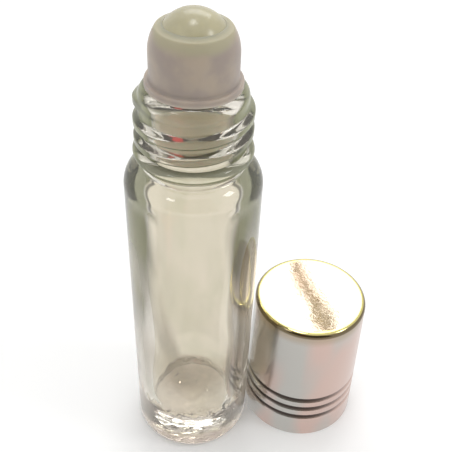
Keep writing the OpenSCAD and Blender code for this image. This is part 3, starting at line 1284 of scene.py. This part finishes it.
@dataclass(frozen=True)
class Lamp:
    """A soft lamp, aimed at the object, in metres and degrees."""

    name: str
    azimuth: float
    elevation: float
    distance: float
    width: float
    height: float
    radiance: float

    def build(self, target: Vector) -> None:
        """Hangs the lamp, aimed at a point in metres.

        Args:
            target: The point.
        """
        away = outwards(self.azimuth, self.elevation)
        light = bpy.data.lights.new(self.name, "AREA")
        light.shape = "RECTANGLE"
        light.size = self.width
        light.size_y = self.height
        light.energy = self.radiance * math.pi * self.width * self.height
        lamp = bpy.data.objects.new(self.name, light)
        lamp.location = target + away * self.distance
        lamp.rotation_mode = "QUATERNION"
        lamp.rotation_quaternion = (-away).to_track_quat("-Z", "Y")
        bpy.context.scene.collection.objects.link(lamp)


@dataclass(frozen=True)
class Card:
    """A card that only gloss and glass show, bent round a point, in metres and degrees."""

    name: str
    azimuths: tuple[float, float]
    elevations: tuple[float, float]
    distance: float
    colour: Colour
    columns: int = 12
    rows: int = 8

    def build(self, target: Vector) -> None:
        """Hangs the card round a point in metres.

        Args:
            target: The point.
        """
        card = finished(self.name, woven([
            [self.corner(i / self.columns, k / self.rows, target) / MM for i in range(self.columns + 1)]
            for k in range(self.rows + 1)]))
        made, graph = Graph.material(self.name)
        graph.surface(graph.glow(self.colour))
        put_on(card, made)
        hide_from(card, "camera", "diffuse", "shadow", "volume_scatter")

    def corner(self, across: float, up: float, target: Vector) -> Vector:
        """A point of the card, from its shares across and up.

        Args:
            across: Share of its width, from 0 to 1.
            up: Share of its height.
            target: The point that it is bent round.

        Returns:
            The point, in metres.
        """
        elevation = self.elevations[0] + (self.elevations[1] - self.elevations[0]) * up
        azimuth = self.azimuths[0] + (self.azimuths[1] - self.azimuths[0]) * across
        return target + outwards(azimuth, elevation) * self.distance


@dataclass(frozen=True)
class Strut:
    """A ragged dark strut before the window, which the cap's top mirrors, in metres and degrees.

    Each point of its path is an elevation, an azimuth and half its width there.
    """

    name: str = "strut"
    distance: float = 0.3
    path: tuple[tuple[float, float, float], ...] = (
        (41.2, 6.9, 0.5), (42.2, 7.3, 0.9), (43.0, 7.9, 1.1), (43.8, 8.5, 1.3), (44.8, 9.6, 1.3),
        (45.8, 11.2, 1.4), (46.8, 12.4, 1.9), (47.8, 13.0, 2.1), (48.6, 13.6, 1.9), (49.4, 14.8, 1.6),
    )
    brown: Colour = (0.12, 0.07, 0.04)
    gold: Colour = (1.1, 0.85, 0.30)
    tone: Span = (0.42, 0.6)
    tone_grain: float = 0.5
    rag: Span = (0.36, 0.5)
    rag_grain: float = 0.35

    def build(self, target: Vector) -> None:
        """Hangs the strut round a point in metres.

        Args:
            target: The point.
        """
        strut = finished(self.name, woven([
            [(target + outwards(azimuth + half * side, elevation) * self.distance) / MM
             for side in (-1, 0, 1)] for elevation, azimuth, half in self.path]))
        made, graph = Graph.material(self.name)
        place = graph.place()
        tone = graph.noise(place, self.tone_grain, detail=3.0, rough=0.6).between(*self.tone)
        cover = graph.noise(place, self.rag_grain, detail=3.0, rough=0.6).between(*self.rag)
        gap = graph.node("ShaderNodeBsdfTransparent")
        graph.surface(graph.either(cover, gap, graph.glow(graph.mix(tone, self.brown, self.gold))))
        put_on(strut, made)
        hide_from(strut, "camera", "diffuse", "volume_scatter")


@dataclass(frozen=True)
class Mat:
    """A flat mat on the floor that shows through few faces of glass, as at the neck, in millimetres."""

    name: str
    across: tuple[float, float]
    along: tuple[float, float]
    colour: Colour
    faces: Span = (3.5, 2.5)

    def build(self, above: float) -> None:
        """Lays the mat at a height above the floor.

        Args:
            above: The height, in millimetres.
        """
        corners = [[Vector((x, y, above)) for x in self.across] for y in self.along]
        mat = finished(self.name, woven(corners))
        made, graph = Graph.material(self.name)
        passed = graph.node("ShaderNodeLightPath", output="Transmission Depth")
        clear = graph.node("ShaderNodeBsdfTransparent")
        graph.surface(graph.either(passed.between(*self.faces), clear, graph.glow(self.colour)))
        put_on(mat, made)
        hide_from(mat, "camera", "diffuse", "glossy", "shadow", "volume_scatter")


@dataclass
class Studio:
    """Camera, floor, background, lamps and cards."""

    focal_pixels: float = 695.892
    sensor: float = 36.0
    camera_place: Vector = field(default_factory=lambda: Vector((4.94, -80.305, 113.2084)))
    camera_pitch: float = 40.398
    camera_roll: float = 2.56
    clip: tuple[float, float] = (0.002, 50.0)
    fill: float = 0.7
    floor_half: float = 3.0
    floor_colour: Colour = (0.95, 0.95, 0.945)
    floor_rough: float = 0.9
    floor_specular: float = 0.1
    floor_lift: float = 0.08
    floor_through: float = 0.28
    floor_glossy: float = 0.5
    floor_white: Span = (120.0, 450.0)
    mat_gap: float = 0.05
    centre: Vector = field(default_factory=lambda: Vector((0.005, 0, 0.05)))
    cap_top: Vector = field(default_factory=lambda: Vector((0.0201, 0.0043, 0.0265)))
    lamps: tuple[Lamp, ...] = (
        Lamp("window", 4, 45, 0.45, 0.34, 0.16, 3.0),
        Lamp("overhead", -30, 84, 0.40, 0.09, 0.09, 9.0),
        Lamp("right", 102, 46, 0.40, 0.09, 0.09, 8.0),
        Lamp("front_left", -137, 46, 0.45, 0.09, 0.06, 7.0),
    )
    cards: tuple[Card, ...] = (
        Card("dark_room", (140, 220), (6, 60), 0.7, (0.20, 0.18, 0.12)),
        Card("red_patch", (186, 194), (20, 34), 0.6, (0.5, 0.05, 0.04)),
    )
    strut: Strut = Strut()
    mats: tuple[Mat, ...] = (
        Mat("dark_mat", (-110, 110), (-240, -16), (0.035, 0.028, 0.02)),
        Mat("red_mat", (-76, -38), (-130, -34), (0.55, 0.06, 0.05)),
    )

    def camera(self) -> None:
        """Sets up the camera at the photograph's viewing angle."""
        data = bpy.data.cameras.new("camera")
        data.sensor_width = self.sensor
        data.lens = self.focal_pixels / IMAGE_SIDE * self.sensor
        data.clip_start, data.clip_end = self.clip
        pitch, roll = math.radians(self.camera_pitch), math.radians(self.camera_roll)
        ahead = Vector((0, math.cos(pitch), -math.sin(pitch)))
        level = Vector((1, 0, 0))
        above = Vector((0, math.sin(pitch), math.cos(pitch)))
        right = math.cos(roll) * level + math.sin(roll) * above
        up = math.cos(roll) * above - math.sin(roll) * level
        camera = bpy.data.objects.new("camera", data)
        turn = Matrix((right, up, -ahead)).transposed().to_4x4()
        camera.matrix_world = Matrix.Translation(self.camera_place * MM) @ turn
        bpy.context.scene.collection.objects.link(camera)
        bpy.context.scene.camera = camera

    def world(self) -> None:
        """Sets a white background that metal and glass show too, and a plain fill for the rest."""
        world = bpy.data.worlds.new("studio")
        bpy.context.scene.world = world
        graph = Graph(world)
        shown, glossy, through = graph.rays()
        strength = (shown + glossy + through).clipped() * (1 - self.fill) + self.fill
        graph.surface(graph.node("ShaderNodeBackground", {}, {"Color": WHITE, "Strength": strength}))

    def floor(self) -> None:
        """Lays the pale floor, which goes over into white away from the object."""
        shape = bmesh.new()
        bmesh.ops.create_grid(shape, x_segments=2, y_segments=2, size=self.floor_half / MM)
        floor = finished("floor", shape)
        made, graph = Graph.material("pale_floor")
        shown, glossy, through = graph.rays()
        lift = (shown + glossy + through).clipped() * self.floor_lift
        lit = graph.principled({
            "Base Color": self.floor_colour,
            "Roughness": self.floor_rough,
            "Specular IOR Level": self.floor_specular,
            "Emission Color": graph.mix(lift, BLACK, WHITE),
            "Emission Strength": 1.0,
        })
        white = through * self.floor_through + glossy * self.floor_glossy
        white = white + shown * graph.place().length().between(*self.floor_white)
        graph.surface(graph.either(white.clipped(), lit, graph.glow(WHITE)))
        put_on(floor, made)

    def build(self) -> None:
        """Builds the whole studio."""
        self.camera()
        self.world()
        self.floor()
        for lamp in self.lamps:
            lamp.build(self.centre)
        for card in self.cards:
            card.build(self.centre)
        self.strut.build(self.cap_top)
        for level, mat in enumerate(self.mats, 1):
            mat.build(self.mat_gap * level)
        bpy.context.scene.view_settings.view_transform = "Standard"


def main() -> None:
    """Builds the object's looks and the studio."""
    logging.basicConfig(level=logging.INFO, format="%(message)s")
    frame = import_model()
    Studio().build()
    GlassBottle().build(ClearGlass())
    head = RollerHead()
    head.build(MilkyPlastic(head.lip), IvoryBall())
    cap = ScrewCap()
    metal = BrightMetal(cap.centre, cap.height, cap.radius - cap.taper, cap.grooves)
    cap.build(metal, WhitePlastic(), frame["nodes"]["cap_liner"])


if __name__ == "__main__":
    main()
